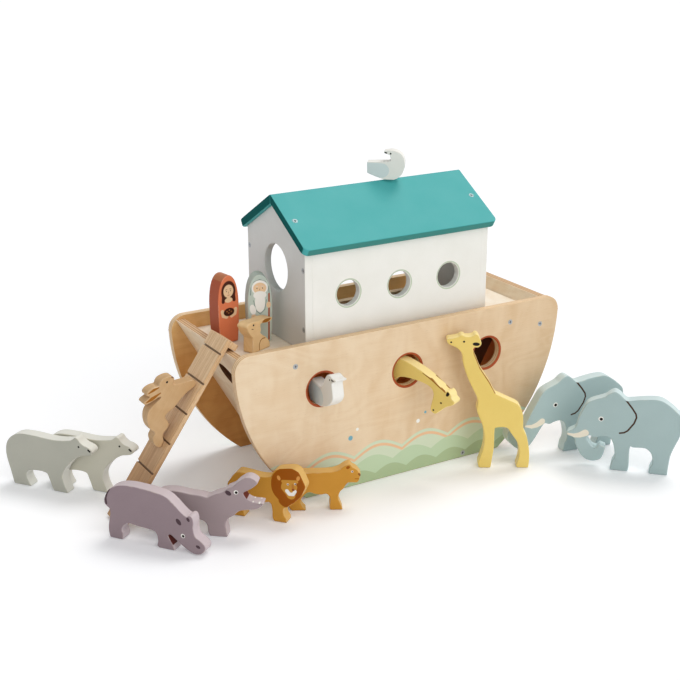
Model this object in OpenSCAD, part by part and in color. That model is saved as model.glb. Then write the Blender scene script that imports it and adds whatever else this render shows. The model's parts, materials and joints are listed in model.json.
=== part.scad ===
// Toy ark of painted plywood: an open hull with a lift-off cabin, a hooked ramp
// and flat cut animals and people that stand on the floor, the deck and the ramp.
// Millimetres. The bow points to -X, port is -Y, the hull's bottom lies on z = 0.

/* [Hull] */
// Length over the rounded ends of the side panels
hull_len = 390; // [370:5:420]
// Width over the two side panels
hull_w = 154; // [148:2:180]
// Height of the side panels
hull_h = 163; // [160:1:170]
// How far the centre of the side panels' round ends lies below their top
arc_drop = 9; // [5:1:11]
// Radius of the top corners of the side panels
corner_r = 16; // [14:1:18]
// Thickness of the side panels, the end boards and the deck
panel_t = 8; // [7:0.5:9]
// Thickness of the hull floor
floor_t = 10; // [8:0.5:12]
// How far the end boards' top edge stays inside the hull's length
top_inset = 5.5; // [5:0.5:8]
// How far the end boards' foot stays inside the hull's length
foot_inset = 96; // [92:1:100]
// How far the end boards stay below the top of the side panels
board_drop = 4; // [2:0.5:6]
// How far the deck's top lies below the top of the side panels
deck_drop = 16; // [14:0.5:18]

/* [Portholes] */
// Distance between the portholes along the side
porthole_pitch = 100; // [90:2:106]
// Height of the porthole centres below the top of the side panels
porthole_drop = 49; // [46:1:52]
// Bore of a porthole
porthole_d = 33; // [32:0.5:35]
// Width of the painted rim round a porthole or a window
rim_w = 2.5; // [1:0.25:3]
// How far that rim dips towards the bore
rim_dip = 0.5; // [0.25:0.25:1.5]

/* [Cabin] */
// Length of the open deck before and behind the cabin
foredeck = 64.5; // [63:0.5:70]
// Width over the side walls
cabin_w = 120; // [114:2:124]
// Height of the side walls at their outer face
wall_h = 103; // [98:1:110]
// Thickness of the walls
wall_t = 8; // [6:0.5:9]
// Distance between the side windows
window_pitch = 60; // [50:1:64]
// Height of the side windows above the deck
window_up = 54; // [50:1:60]
// Bore of a side window
window_d = 26; // [20:0.5:30]
// Height of the gable window above the deck
gable_window_up = 73; // [68:1:78]
// Bore of the gable window
gable_window_d = 48; // [40:1:52]
// Width of the posts beside the open starboard side
post_w = 13; // [13:1:20]
// Height of the rail above the open starboard side
rail_h = 22; // [21:1:30]
// How far the locating strips end short of the gables' outer faces
strip_short = 14; // [11:1:17]
// Width of a locating strip
strip_w = 8; // [6:0.5:12]
// Height of a locating strip
strip_h = 16; // [13:0.5:24]

/* [Roof] */
// Slope of the roof
roof_pitch = 30.6; // [26:0.2:34]
// Thickness of the roof panels
roof_t = 8; // [6:0.5:10]
// How far the roof reaches past the gables
gable_over = 5; // [2:0.5:10]
// How far the roof's top edge reaches past the side walls
eave_over = 10; // [8:0.5:15]
// Radius of the roof panels' corners at the eaves
eave_r = 7; // [3:0.5:10]

/* [Ramp] */
// Slope of the ramp
ramp_angle = 55; // [54:0.5:58]
// Width of the ramp
ramp_w = 37; // [32:1:38]
// Thickness of the ramp
ramp_t = 5; // [4:0.5:6]
// Distance from the port side panel to the middle of the ramp
ramp_inset = 40; // [38:1:46]
// How far the ramp reaches past the bow board's edge
ramp_over = 12; // [11:0.5:14]
// Distance between the saw cuts across the ramp
kerf_pitch = 32.7; // [28:0.1:36]
// Width of a saw cut
kerf_w = 1.8; // [1:0.1:3]
// Depth of a saw cut
kerf_depth = 1.8; // [1:0.1:2.4]
// Depth of the hook under the ramp's top end
hook_h = 9; // [8.5:0.5:12]

/* [Animals] */
// Thickness of the flat animals
animal_t = 13; // [11:0.5:13.5]
// Height of a polar bear
bear_h = 63.5; // [60:0.5:66]
// Height of the grazing hippo
hippo_h = 57.6; // [54:0.1:60]
// Height of the yawning hippo
yawn_h = 63.7; // [60:0.1:66]
// Height of the lion
lion_h = 58.4; // [56:0.1:60]
// Height of the lioness
lioness_h = 48.5; // [46:0.1:50]
// Height of the standing giraffe
giraffe_h = 149; // [142:1:154]
// Height of an elephant
elephant_h = 87.8; // [84:0.1:90]
// Height of the climbing rabbit off the ramp
climber_h = 42; // [38:0.5:44]
// Height of the sitting rabbit
rabbit_h = 32.2; // [30:0.1:34]
// Height of the dove on the roof
dove_h = 30.3; // [27:0.1:32]
// Height of the dove in the porthole
percher_h = 38; // [36:0.1:40]

/* [People] */
// Width of a person
person_w = 25; // [22:0.5:26]
// Thickness of a person
person_t = 17; // [14:0.5:18]
// Height of a person
person_h = 70; // [60:1:76]

/* [Screws] */
// Diameter of a screw head
head_d = 5.5; // [4:0.1:6]
// Diameter of a screw shank
shank_d = 3; // [2:0.1:3.4]
// Length of a screw
screw_len = 20; // [17:1:20]

/* [Fits] */
// Gap between a piece that lifts off and what it rests on
rest_gap = 0.3; // [0.2:0.05:0.6]
// Gap all round a screw in its hole
screw_gap = 0.1; // [0.05:0.05:0.2]
// Gap between the cabin's strips and the edge of the hatch
hatch_gap = 1; // [0.5:0.25:2]

/* [Hidden] */
$fn = 72;

// Cutting tools run this far past the faces they cut
past = 1;
// Points on each curved stretch between two points of a figure's outline
curve_steps = 4;
head_h = (head_d - shank_d) / 2;
slot_w = 0.7;
slot_depth = 0.8;

// Hull
inner_w = hull_w - 2 * panel_t;
top_x = hull_len / 2 - top_inset;
foot_x = hull_len / 2 - foot_inset;
board_h = hull_h - board_drop;
board_tilt = atan((top_x - foot_x) / board_h);
board_run = panel_t / cos(board_tilt);
deck_z = hull_h - deck_drop;
deck_bottom = deck_z - panel_t;
porthole_z = hull_h - porthole_drop;
arc_z = hull_h - arc_drop;
corner_z = hull_h - corner_r;
corner_x = sqrt((hull_len / 2 - corner_r) ^ 2 - (arc_z - corner_z) ^ 2);

// Cabin and roof
cabin_len = 2 * (outer_x(deck_z) - board_run - foredeck);
strip_len = cabin_len - 2 * strip_short;
roof_len = cabin_len + 2 * gable_over;
roof_w = cabin_w + 2 * eave_over;
wall_top = deck_z + rest_gap + wall_h;
wall_mid = cabin_w / 2 - wall_t / 2;
gable_mid = cabin_len / 2 - wall_t / 2;
ridge_under = wall_top + cabin_w / 2 * tan(roof_pitch);
ridge_z = ridge_under + roof_t / cos(roof_pitch);
hatch_len = strip_len + 2 * hatch_gap;
hatch_w = cabin_w - 2 * wall_t + 2 * hatch_gap;

// Places of the screws: along and up a hull side, up a gable, out from the ridge
deck_screw_x = 130;
floor_screw_x = 73;
bow_screw_z = 16;
stern_screw_z = 134;
hull_screw_places = [
    [deck_screw_x, deck_z - panel_t / 2], [-deck_screw_x, deck_z - panel_t / 2],
    [floor_screw_x, floor_t / 2], [-floor_screw_x, floor_t / 2],
    [outer_x(stern_screw_z) - board_run / 2, stern_screw_z],
    [board_run / 2 - outer_x(bow_screw_z), bow_screw_z]];
gable_screw_up = [23, 83];
roof_screw_out = 34.5;

// Floor places of the figures as [x, y, z, heading], kept clear of the hull and the ramp
ramp_y = ramp_inset - inner_w / 2;
ramp_foot_x = -top_x - board_h / tan(ramp_angle) - ramp_t * sin(ramp_angle);
beside = -hull_w / 2;
ahead = -hull_len / 2;
bear_heading = -53;
bear_space = animal_t + 2;
bear_ahead = 37;
bear_place = [ahead - 165, 108.7, 0, bear_heading];
second_bear_place = bear_place + [bear_ahead * cos(bear_heading) - bear_space * sin(bear_heading),
    bear_ahead * sin(bear_heading) + bear_space * cos(bear_heading), 0, 1];
grazing_place = [ramp_foot_x - 13.43, ramp_y - 23.22, 0, -53.8];
yawning_place = [ramp_foot_x + 68.3, ramp_y - 70, 0, -40];
lion_place = [ahead - 1, beside + 2.3, 0, -49.3];
lioness_place = [ahead + 50, beside - 17, 0, -28];
giraffe_place = [71.4, beside - 31.5, 0, -31];
elephant_place = [186, beside - 105.8, 0, -45.4];
second_elephant_place = [173.8, beside - 45.3, 0, -12];

// Places on board
man_x = -cabin_len / 2 - 0.775 * person_w;
man_place = [man_x, 1, deck_z + rest_gap, -17];
woman_place = [man_x - person_w - 6.4, 15.4, deck_z + rest_gap, 9];
sitting_place = [man_x - 23.9, -33.8, deck_z + rest_gap, 23.5];
dove_place = [22, 0, ridge_z + rest_gap, -38];
perch = sqrt((porthole_d / 2) ^ 2 - (animal_t / 2) ^ 2) - rest_gap;
perch_place = [-porthole_pitch, beside + 17, porthole_z - perch, -90];
reach_turn = 25;
reach_foot = 22;
reach_place = [-reach_foot * sin(reach_turn), beside + panel_t / 2 + reach_foot * cos(reach_turn),
    floor_t + rest_gap, 90 + reach_turn];
// The reaching giraffe grows with the height of the porthole over the floor
reach_scale = (porthole_z - floor_t) / 104;
climb_down = 123;
climb_aside = 2.7;

// Outer face of an end board at a height, measured from the middle of the hull
function outer_x(z) = foot_x + z * tan(board_tilt);

// Closed smooth outline through hand-set points, where a third value marks a sharp corner
function xy(p) = [p.x, p.y];
function sharp(p) = len(p) > 2;
function aim(a, b) = (xy(b) - xy(a)) / norm(xy(b) - xy(a));
function leave(a, p, q) = sharp(p) ? xy(q) - xy(p) : aim(a, q) * norm(xy(q) - xy(p));
function arrive(p, q, b) = sharp(q) ? xy(q) - xy(p) : aim(p, b) * norm(xy(q) - xy(p));
function blend(p, q, s, e, t) = (2 * t ^ 3 - 3 * t ^ 2 + 1) * p + (t ^ 3 - 2 * t ^ 2 + t) * s
    + (3 * t ^ 2 - 2 * t ^ 3) * q + (t ^ 3 - t ^ 2) * e;
function outline(points) = [
    for (i = [0 : len(points) - 1])
        let (n = len(points),
             a = points[(i + n - 1) % n],
             p = points[i],
             q = points[(i + 1) % n],
             b = points[(i + 2) % n],
             steps = sharp(p) && sharp(q) ? 1 : curve_steps)
        for (k = [0 : steps - 1])
            blend(xy(p), xy(q), leave(a, p, q), arrive(p, q, b), k / steps)
];

// The cut shape of an animal, brought to its height
module cut_out(points, height) {
    scale(height / max([for (p = points) p.y])) polygon(outline(points));
}

// A countersunk cross-head screw pointing down from z = 0, and the hole for it
module screw() {
    difference() {
        union() {
            translate([0, 0, -head_h]) cylinder(d1 = shank_d, d2 = head_d, h = head_h);
            translate([0, 0, -screw_len]) cylinder(d = shank_d, h = screw_len - head_h);
        }
        for (turn = [0, 90]) {
            rotate(turn)
                translate([-head_d / 4, -slot_w / 2, -slot_depth])
                    cube([head_d / 2, slot_w, slot_depth + past]);
        }
    }
}

module screw_hole() {
    hole_d = shank_d + 2 * screw_gap;
    translate([0, 0, -head_h - screw_gap])
        cylinder(d1 = hole_d, d2 = hole_d + 2 * (head_h + screw_gap + past), h = head_h + screw_gap + past);
    translate([0, 0, -screw_len - screw_gap]) cylinder(d = hole_d, h = screw_len);
}

// A round opening bored down from z = 0 through a board, with a rim that dips a little on the face
module opening(bore, board) {
    translate([0, 0, -board - past]) cylinder(d = bore, h = board + 2 * past);
    translate([0, 0, -rim_dip])
        cylinder(d1 = bore, d2 = bore + 2 * rim_w * (1 + past / rim_dip), h = rim_dip + past);
}

// Everything that is cut from or set into the port side of the hull points in from its outer face
module at_port_side(x, z) {
    translate([x, -hull_w / 2, z]) rotate([90, 0, 0]) children();
}

module port_hull_screws() {
    for (place = hull_screw_places) at_port_side(place.x, place.y) screw();
}

module hull_screw_holes() {
    for (side = [0, 1]) mirror([0, side, 0])
        for (place = hull_screw_places) at_port_side(place.x, place.y) screw_hole();
}

// What is cut away to round an outline's corner
module corner_cut(r) {
    difference() {
        square(r + past);
        circle(r = r);
    }
}

module side_outline() {
    difference() {
        intersection() {
            translate([0, arc_z]) circle(d = hull_len);
            translate([-hull_len / 2, 0]) square([hull_len, hull_h]);
        }
        for (end = [0, 1]) mirror([end, 0]) translate([corner_x, corner_z]) corner_cut(corner_r);
    }
}

module port_side_panel() {
    difference() {
        translate([0, panel_t - hull_w / 2, 0]) rotate([90, 0, 0]) linear_extrude(panel_t) side_outline();
        for (k = [-1 : 1]) at_port_side(k * porthole_pitch, porthole_z) opening(porthole_d, panel_t);
        hull_screw_holes();
    }
}

module hull_side_port() {
    color("palegreen") port_side_panel();
}

module hull_side_starboard() {
    color("palegreen") mirror([0, 1, 0]) port_side_panel();
}

// A board between the side panels, drawn as its outline seen from port
module between_sides(points) {
    translate([0, inner_w / 2, 0]) rotate([90, 0, 0]) linear_extrude(inner_w) polygon(points);
}

module stern_end() {
    difference() {
        between_sides([[foot_x - board_run, 0], [foot_x, 0], [top_x, board_h], [top_x - board_run, board_h]]);
        translate([outer_x(porthole_z), 0, porthole_z]) rotate([0, 90 + board_tilt, 0])
            opening(porthole_d, panel_t);
    }
}

module bow_board() {
    color("burlywood") difference() {
        mirror([1, 0, 0]) stern_end();
        hull_screw_holes();
    }
}

module stern_board() {
    color("burlywood") difference() {
        stern_end();
        hull_screw_holes();
    }
}

// Floor and deck end on the slant of the end boards
module level_board(low, high) {
    low_x = outer_x(low) - board_run;
    high_x = outer_x(high) - board_run;
    between_sides([[-low_x, low], [low_x, low], [high_x, high], [-high_x, high]]);
}

module hull_floor() {
    color("wheat") difference() {
        level_board(0, floor_t);
        hull_screw_holes();
    }
}

module deck() {
    color("wheat") difference() {
        level_board(deck_bottom, deck_z);
        translate([-hatch_len / 2, -hatch_w / 2, deck_bottom - past])
            cube([hatch_len, hatch_w, panel_t + 2 * past]);
        hull_screw_holes();
    }
}

module hull_screws_port() {
    color("silver") port_hull_screws();
}

module hull_screws_starboard() {
    color("silver") mirror([0, 1, 0]) port_hull_screws();
}

// Cabin: the gables cover the ends of the side walls
module at_stern_gable(y, up) {
    translate([cabin_len / 2, y, deck_z + rest_gap + up]) rotate([0, 90, 0]) children();
}

module stern_gable_screws() {
    for (side = [-1, 1], up = gable_screw_up) at_stern_gable(side * wall_mid, up) screw();
}

module gable_screw_holes() {
    for (end = [0, 1]) mirror([end, 0, 0])
        for (side = [-1, 1], up = gable_screw_up) at_stern_gable(side * wall_mid, up) screw_hole();
}

// A place on the port slope of the roof, pointing in
module at_port_roof(x) {
    translate([x, -roof_screw_out, ridge_z - roof_screw_out * tan(roof_pitch)])
        rotate([roof_pitch, 0, 0]) children();
}

module port_roof_screws() {
    for (end = [-1, 1]) at_port_roof(end * gable_mid) screw();
}

module roof_screw_holes() {
    for (side = [0, 1]) mirror([0, side, 0])
        for (end = [-1, 1]) at_port_roof(end * gable_mid) screw_hole();
}

// Extrudes an outline drawn across the cabin along its length
module along_cabin(length) {
    translate([-length / 2, 0, 0]) rotate([90, 0, 90]) linear_extrude(length) children();
}

module port_wall() {
    outer = -cabin_w / 2;
    along_cabin(cabin_len - 2 * wall_t) polygon([
        [outer, deck_z + rest_gap],
        [outer + wall_t, deck_z + rest_gap],
        [outer + wall_t, wall_top + wall_t * tan(roof_pitch)],
        [outer, wall_top]]);
}

module cabin_side_port() {
    color("whitesmoke") difference() {
        port_wall();
        for (k = [-1 : 1])
            translate([k * window_pitch, -cabin_w / 2, deck_z + rest_gap + window_up]) rotate([90, 0, 0])
                opening(window_d, wall_t);
        gable_screw_holes();
    }
}

// The starboard side is open to reach in, with a post at each end and a rail on top
module cabin_side_starboard() {
    open_len = cabin_len - 2 * wall_t - 2 * post_w;
    color("whitesmoke") difference() {
        mirror([0, 1, 0]) port_wall();
        translate([-open_len / 2, cabin_w / 2 - wall_t - past, deck_z - past])
            cube([open_len, wall_t + 2 * past, rest_gap + wall_h - rail_h + past]);
        gable_screw_holes();
    }
}

module stern_gable() {
    difference() {
        translate([gable_mid, 0, 0]) along_cabin(wall_t) polygon([
            [-cabin_w / 2, deck_z + rest_gap],
            [cabin_w / 2, deck_z + rest_gap],
            [cabin_w / 2, wall_top],
            [0, ridge_under],
            [-cabin_w / 2, wall_top]]);
        at_stern_gable(0, gable_window_up) opening(gable_window_d, wall_t);
        gable_screw_holes();
        roof_screw_holes();
    }
}

module cabin_gable_stern() {
    color("whitesmoke") stern_gable();
}

module cabin_gable_bow() {
    color("whitesmoke") mirror([1, 0, 0]) stern_gable();
}

// Strips inside the side wall and the posts that reach down into the hatch
module port_strip() {
    translate([-strip_len / 2, wall_t - cabin_w / 2, deck_bottom + rest_gap])
        cube([strip_len, strip_w, strip_h]);
}

module locating_strip_port() {
    color("tan") port_strip();
}

module locating_strip_starboard() {
    color("tan") mirror([0, 1, 0]) port_strip();
}

// Roof panels have round corners at the eaves and meet in a mitre under the ridge
module roof_outline() {
    slope_len = roof_w / 2 / cos(roof_pitch);
    difference() {
        translate([-roof_len / 2, -slope_len]) square([roof_len, slope_len]);
        for (end = [0, 1]) mirror([end, 0])
            translate([roof_len / 2 - eave_r, eave_r - slope_len]) mirror([0, 1]) corner_cut(eave_r);
    }
}

module port_roof() {
    difference() {
        translate([0, 0, ridge_z]) rotate([roof_pitch, 0, 0]) translate([0, 0, -roof_t])
            linear_extrude(roof_t) roof_outline();
        translate([-roof_len / 2 - past, 0, ridge_under - past])
            cube([roof_len + 2 * past, roof_t, ridge_z - ridge_under + 2 * past]);
        roof_screw_holes();
    }
}

module roof_panel_port() {
    color("mediumturquoise") port_roof();
}

module roof_panel_starboard() {
    color("mediumturquoise") mirror([0, 1, 0]) port_roof();
}

module gable_screws_stern() {
    color("silver") stern_gable_screws();
}

module gable_screws_bow() {
    color("silver") mirror([1, 0, 0]) stern_gable_screws();
}

module roof_screws_port() {
    color("silver") port_roof_screws();
}

module roof_screws_starboard() {
    color("silver") mirror([0, 1, 0]) port_roof_screws();
}

// Ramp: x runs up its underside from the bow board's top edge, z stands off the underside
module on_ramp() {
    translate([-top_x, ramp_y, board_h]) rotate([0, -ramp_angle, 0]) translate([0, 0, rest_gap]) children();
}

module ramp_board() {
    // The square foot stands on its lower edge
    foot = -(board_h + rest_gap * cos(ramp_angle)) / sin(ramp_angle);
    color("burlywood") on_ramp() difference() {
        translate([foot, -ramp_w / 2, 0]) cube([ramp_over - foot, ramp_w, ramp_t]);
        for (k = [0.5 : 1 : 5.5])
            translate([ramp_over - k * kerf_pitch, -ramp_w / 2 - past, ramp_t - kerf_depth])
                cube([kerf_w, ramp_w + 2 * past, kerf_depth + past]);
    }
}

// The hook catches the inner top edge of the bow board
module ramp_hook() {
    hook_x = board_run * cos(ramp_angle) + rest_gap;
    color("burlywood") on_ramp()
        translate([hook_x, -ramp_w / 2, -hook_h]) cube([ramp_over - hook_x, ramp_w, hook_h]);
}

// A flat figure cut from a board: x along its heading, its near face on the heading line
module stand(place, thick) {
    translate([place[0], place[1], place[2]]) rotate([0, 0, place[3]])
        rotate([90, 0, 0]) translate([0, 0, -thick]) linear_extrude(thick) children();
}

// The same with the heading line through the middle of the board
module stand_centred(place, thick) {
    translate([place[0], place[1], place[2]]) rotate([0, 0, place[3]])
        rotate([90, 0, 0]) translate([0, 0, -thick / 2]) linear_extrude(thick) children();
}

module bear_outline() {
    cut_out([[0, 0, 1], [21, 0, 1], [16.5, 8.5], [16.5, 14.5], [21, 18.2], [40, 18.6], [43.5, 12],
        [47.5, 0, 1], [65, 0, 1], [60.5, 11], [60, 20], [68, 32.5], [82, 43.5], [93, 46.5], [96.5, 49.6],
        [95.6, 52.8], [91.5, 55.4], [87, 56.6], [83, 59.4], [80.6, 62.6], [77.8, 63.5], [75, 61.3],
        [71, 59.3], [52, 56.8], [23, 58], [7, 56], [-4, 47], [-7, 33], [-3.2, 14.5]], bear_h);
}

module polar_bear_left() {
    color("ivory") stand(bear_place, animal_t) bear_outline();
}

module polar_bear_right() {
    color("ivory") stand(second_bear_place, animal_t) bear_outline();
}

module hippo_grazing() {
    color("rosybrown") stand(grazing_place, animal_t) cut_out([
        [0, 0, 1], [14, 0, 1], [14.5, 6], [13.2, 10], [15.5, 15], [21, 18.5], [31.5, 17.6], [44, 16.7],
        [50, 15], [52, 7], [51, 2], [52.8, 0, 1], [70, 0, 1], [68, 5.7], [64.5, 12], [63.7, 15], [66, 15.7],
        [70, 13], [79, 6.3], [88, 1.5], [95, 1.2], [100.5, 5], [102, 10], [98.5, 14.5], [92, 19], [90, 26],
        [90.5, 33], [89, 38.3], [86, 39], [83.5, 37.6], [77, 41.8], [71, 47.6], [63, 53.5], [51.5, 56.3],
        [38, 57.3], [23.5, 57.6], [11, 55.4], [1.5, 49.7], [-3.5, 41], [-4.3, 35.5], [-2, 32.3], [1, 30],
        [1.4, 24], [-1, 13], [-1.2, 6]], hippo_h);
}

// The yawning hippo's x = 0 is the heel of its front foot
module hippo_yawning() {
    color("rosybrown") stand(yawning_place, animal_t) cut_out([
        [-0.5, 0, 1], [17, 0, 1], [16.5, 6], [15.5, 12], [17.4, 18.7], [23.3, 23], [28.7, 28], [36.5, 30],
        [45.3, 31.4], [50.6, 34.9], [52, 37.5], [50, 38.2], [42.9, 38.5], [37.3, 40.6], [33.8, 45.3],
        [33.6, 47.5], [37.5, 50], [42.2, 53], [46.7, 57.4], [46.5, 59.6], [41.5, 63], [37.9, 63.7],
        [34.3, 62.6], [28.5, 58.2], [23.7, 53.4], [18.5, 51], [14.2, 47], [7.3, 44.4], [3, 42.3],
        [-1.7, 40.3], [-7.4, 41.5], [-18, 42.4], [-30, 44.5], [-40, 44.5], [-49, 42], [-55, 36],
        [-56.5, 30], [-52, 26], [-52, 18], [-54, 8], [-53, 0, 1], [-38, 0, 1], [-38, 6], [-37, 12],
        [-32, 16.5], [-20, 17], [-8, 16], [-3, 12], [-2, 5]], yawn_h);
}

module lion() {
    color("peru") stand(lion_place, animal_t) cut_out([
        [-5, 0, 1], [8.5, 0, 1], [7, 5], [9, 12], [14, 18], [20, 19.5], [28.7, 18.9], [34.6, 19], [36.5, 12],
        [36.8, 3.7], [38.5, 0, 1], [51.8, 0, 1], [51, 4.4], [49, 7.3], [48.3, 11], [49, 15], [53.4, 17.6],
        [59, 22.6], [63.4, 27], [66.6, 30.7], [68.7, 35.3], [70.8, 41], [68.8, 46.6], [66.8, 51],
        [64.3, 55.5], [61.3, 57.7], [57, 58.4], [49.4, 57.3], [44, 56], [40, 54], [37.3, 50.4], [35.7, 47],
        [25, 45.4], [9.5, 47.1], [2, 47.5], [-0.7, 45.6], [-4.3, 41.6], [-7.2, 37], [-9.4, 33], [-8, 24],
        [-5, 15], [-6, 8]], lion_h);
}

module lioness() {
    color("peru") stand(lioness_place, animal_t) cut_out([
        [-1, 0, 1], [13.6, 0, 1], [10, 4], [8, 10], [12, 17], [16.6, 19.6], [21.5, 17.9], [28, 16.7],
        [34, 17.2], [37, 12], [36.4, 5], [36.9, 0, 1], [49.6, 0, 1], [48.4, 3], [46.8, 7.6], [45.2, 12],
        [46.8, 19.3], [50, 22.5], [52.5, 26.6], [55, 29], [63, 29], [65, 30.5], [66.3, 34], [67, 37.6],
        [65.5, 39.8], [63, 43], [59, 45.5], [56.6, 48.5], [53.3, 48], [50, 46.2], [46, 43.4], [38.7, 41],
        [14.4, 40.6], [2, 40.5], [-6, 38], [-9, 31], [-9, 22], [-6, 12], [-4, 5]], lioness_h);
}

module giraffe_standing() {
    color("khaki") stand(giraffe_place, animal_t) cut_out([
        [0, 0, 1], [12.2, 0, 1], [14, 14.5], [15, 24], [15, 44], [17, 45.8], [27.5, 45.5], [32, 39.5],
        [38.5, 30], [41.4, 20], [41, 11], [39, 2.5], [40, 0, 1], [52, 0, 1], [52.6, 8], [52, 20], [48.8, 36],
        [45, 44], [44.4, 54], [43.5, 61.7], [39, 71], [32.5, 75], [18, 82], [14.5, 84], [7.4, 97],
        [-2.3, 112], [-6.1, 121], [-9, 128], [-10, 134], [-5, 134.8], [-2.2, 138], [-2.8, 141.7], [-4.5, 146],
        [-6.3, 148.5], [-8.7, 149], [-10.8, 147.4], [-13.5, 146.3], [-18.8, 146.5], [-21, 148],
        [-23.6, 148], [-25.6, 146.2], [-33, 144.8], [-37, 144],
        [-37.3, 140.5], [-34.9, 138], [-27, 134], [-22, 128], [-20, 116], [-14, 99], [-6, 82.5], [-3.6, 75],
        [-4.6, 66], [-2, 58.4], [3, 45], [4.3, 30], [2.9, 20], [-0.8, 7.5], [-1.1, 3]], giraffe_h);
}

// The second giraffe stands in the hold and arches its neck out of the middle porthole
module giraffe_reaching() {
    color("khaki") stand_centred(reach_place, animal_t) scale(reach_scale) polygon(outline([
        [0, 0, 1], [12.2, 0, 1], [14, 14.5], [15, 24], [15, 44], [17, 45.8], [27.5, 45.5], [32, 39.5],
        [38.5, 30], [41.4, 20], [41, 11], [39, 2.5], [40, 0, 1], [52, 0, 1], [52.6, 8], [52, 20], [48.8, 36],
        [45, 44], [44.4, 54], [43.5, 61.7], [39, 71], [32.5, 75], [18, 82], [15, 88], [10, 100], [2, 111],
        [-10, 116.3], [-25.4, 115], [-49.6, 105.8], [-65, 96.5], [-72.3, 91.6], [-75.5, 93], [-79, 89.5],
        [-80, 86], [-83, 83], [-81.5, 79.4], [-74, 75.5], [-66, 69], [-61.3, 65.3], [-57.3, 66.5],
        [-55.8, 69.6], [-57, 77], [-58.7, 85.8], [-57, 91], [-52, 94.3], [-40, 96.7], [-22, 97], [-14, 93],
        [-8, 85], [-4, 75], [-4.6, 66], [-2, 58.4], [3, 45], [4.3, 30], [2.9, 20], [-0.8, 7.5], [-1.1, 3]]));
}

// Both elephants are cut alike but for the trunk, from the brow to the chin
module elephant_outline(trunk) {
    cut_out(concat([[0, 0, 1], [18.5, 0, 1], [19.2, 6], [18.8, 16], [19.5, 28.5], [22, 27.6], [33.5, 28],
        [38.5, 25.5], [42, 20], [42.6, 12], [40, 5], [40, 0, 1], [59, 0, 1], [59.2, 8], [60.5, 22],
        [63, 30.5], [68, 44], [70, 55], [69, 65], [61.5, 73], [54.5, 78.3], [48.5, 81.8], [42, 83],
        [26.5, 81.5], [16, 79.5], [12, 79.5], [10, 81], [5, 85.5], [0, 87.8], [-5, 85.5], [-9.7, 81.5],
        [-22.5, 76], [-28, 72]],
        trunk,
        [[-23, 36.4], [-18, 34.8], [-12.4, 36.5], [-6.8, 37.4], [-2, 36], [0.7, 32], [2.5, 27], [4, 17.7],
        [3.4, 13.4], [1.3, 9]]), elephant_h);
}

module elephant_left() {
    color("lightsteelblue") stand(second_elephant_place, animal_t) elephant_outline([
        [-34, 62], [-38.8, 54], [-43, 46], [-46.5, 39], [-49.5, 32.5], [-53.5, 28.5], [-57.5, 30],
        [-60.5, 34], [-64, 35], [-67, 31], [-67.2, 25], [-62, 17.5], [-55, 11.5], [-48, 9.6], [-41.7, 12],
        [-35.7, 19], [-29.5, 28.6], [-25.5, 34.5]]);
}

module elephant_right() {
    color("lightsteelblue") stand(elephant_place, animal_t) elephant_outline([
        [-33, 61], [-36, 53], [-38.5, 43.5], [-47, 36.5], [-38.5, 32], [-37.6, 27], [-35, 21], [-31, 14],
        [-26, 9.5], [-20, 8], [-15.4, 8.6], [-10.7, 10.7], [-8.2, 15.3], [-6.5, 22], [-6.2, 25, 1],
        [-12.8, 27.2, 1], [-15.8, 23.5], [-20, 24.5], [-24, 29.5], [-25.5, 33.4]]);
}

// The climbing rabbit's x runs up the ramp from its hind toe
module rabbit_climbing() {
    color("tan") on_ramp() translate([ramp_over - climb_down, -climb_aside, ramp_t + rest_gap])
        stand_centred([0, 0, 0, 0], animal_t) cut_out([
            [0.6, 3], [2, 7.9], [6.5, 12.4], [12.1, 13.6], [13.2, 19.6], [17.5, 25.6], [23.1, 29.5],
            [29.6, 31], [36.6, 29.2], [44, 26.6], [45.6, 27.6], [38.1, 32.6], [32.4, 37.4], [32.8, 39.8],
            [36, 39.4], [41, 37.4], [40.6, 40.6], [43, 42], [47, 40.8], [50.6, 38.3], [53.6, 35],
            [56.5, 35.6], [59.6, 35.2], [63.2, 33], [66.2, 29.8], [67.6, 26.2], [65.9, 23.6], [62, 23],
            [61.4, 20.8], [64.2, 16.8], [68.7, 11.2], [73, 6], [73.4, 3], [71.2, 0.6], [68.5, 0.4],
            [59, 5], [49.7, 7.3], [40.3, 9.2], [35.9, 11.6], [30.6, 12.4], [28.4, 10.2], [27.3, 7.1],
            [24.5, 4.4], [20, 4], [15.4, 4.8], [11.8, 3.6], [9.3, 1.1], [7, 0, 1], [2.4, 0, 1]], climber_h);
}

module rabbit_sitting() {
    color("tan") stand(sitting_place, animal_t) cut_out([
        [-1.2, 0, 1], [24.7, 0, 1], [25.2, 2], [24, 6.6], [19.6, 11.5], [10.9, 18.2], [11.8, 20.9],
        [11.2, 26.4], [13, 27.4], [21.9, 26.1], [28.3, 26.8], [29.7, 29.1], [20.3, 31], [10.4, 31.1],
        [1.6, 32], [-4.5, 32.2], [-8, 31.2], [-9.8, 29.3], [-8.6, 26.7], [-6.6, 22.6], [-3.3, 18.4],
        [-0.8, 15.6], [-1.2, 4]], rabbit_h);
}

module dove_on_roof() {
    color("white") stand_centred(dove_place, animal_t) cut_out([
        [-1, 0, 1], [8, 0, 1], [12, 1.9], [16.7, 7.1], [18.8, 15.7], [17.7, 22.6], [14.8, 26.8],
        [9.6, 29.6], [5.4, 30.3], [1.5, 29.9], [-2.2, 29.2], [-2.4, 27.6], [0.5, 26.4], [3.4, 25.4],
        [4.2, 23], [4.4, 20.5], [2.6, 18.8], [-6.4, 18.4], [-19.7, 17.9, 1], [-19.6, 6.7, 1],
        [-13.1, 3.9], [-4.5, 0.9]], dove_h);
}

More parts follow.
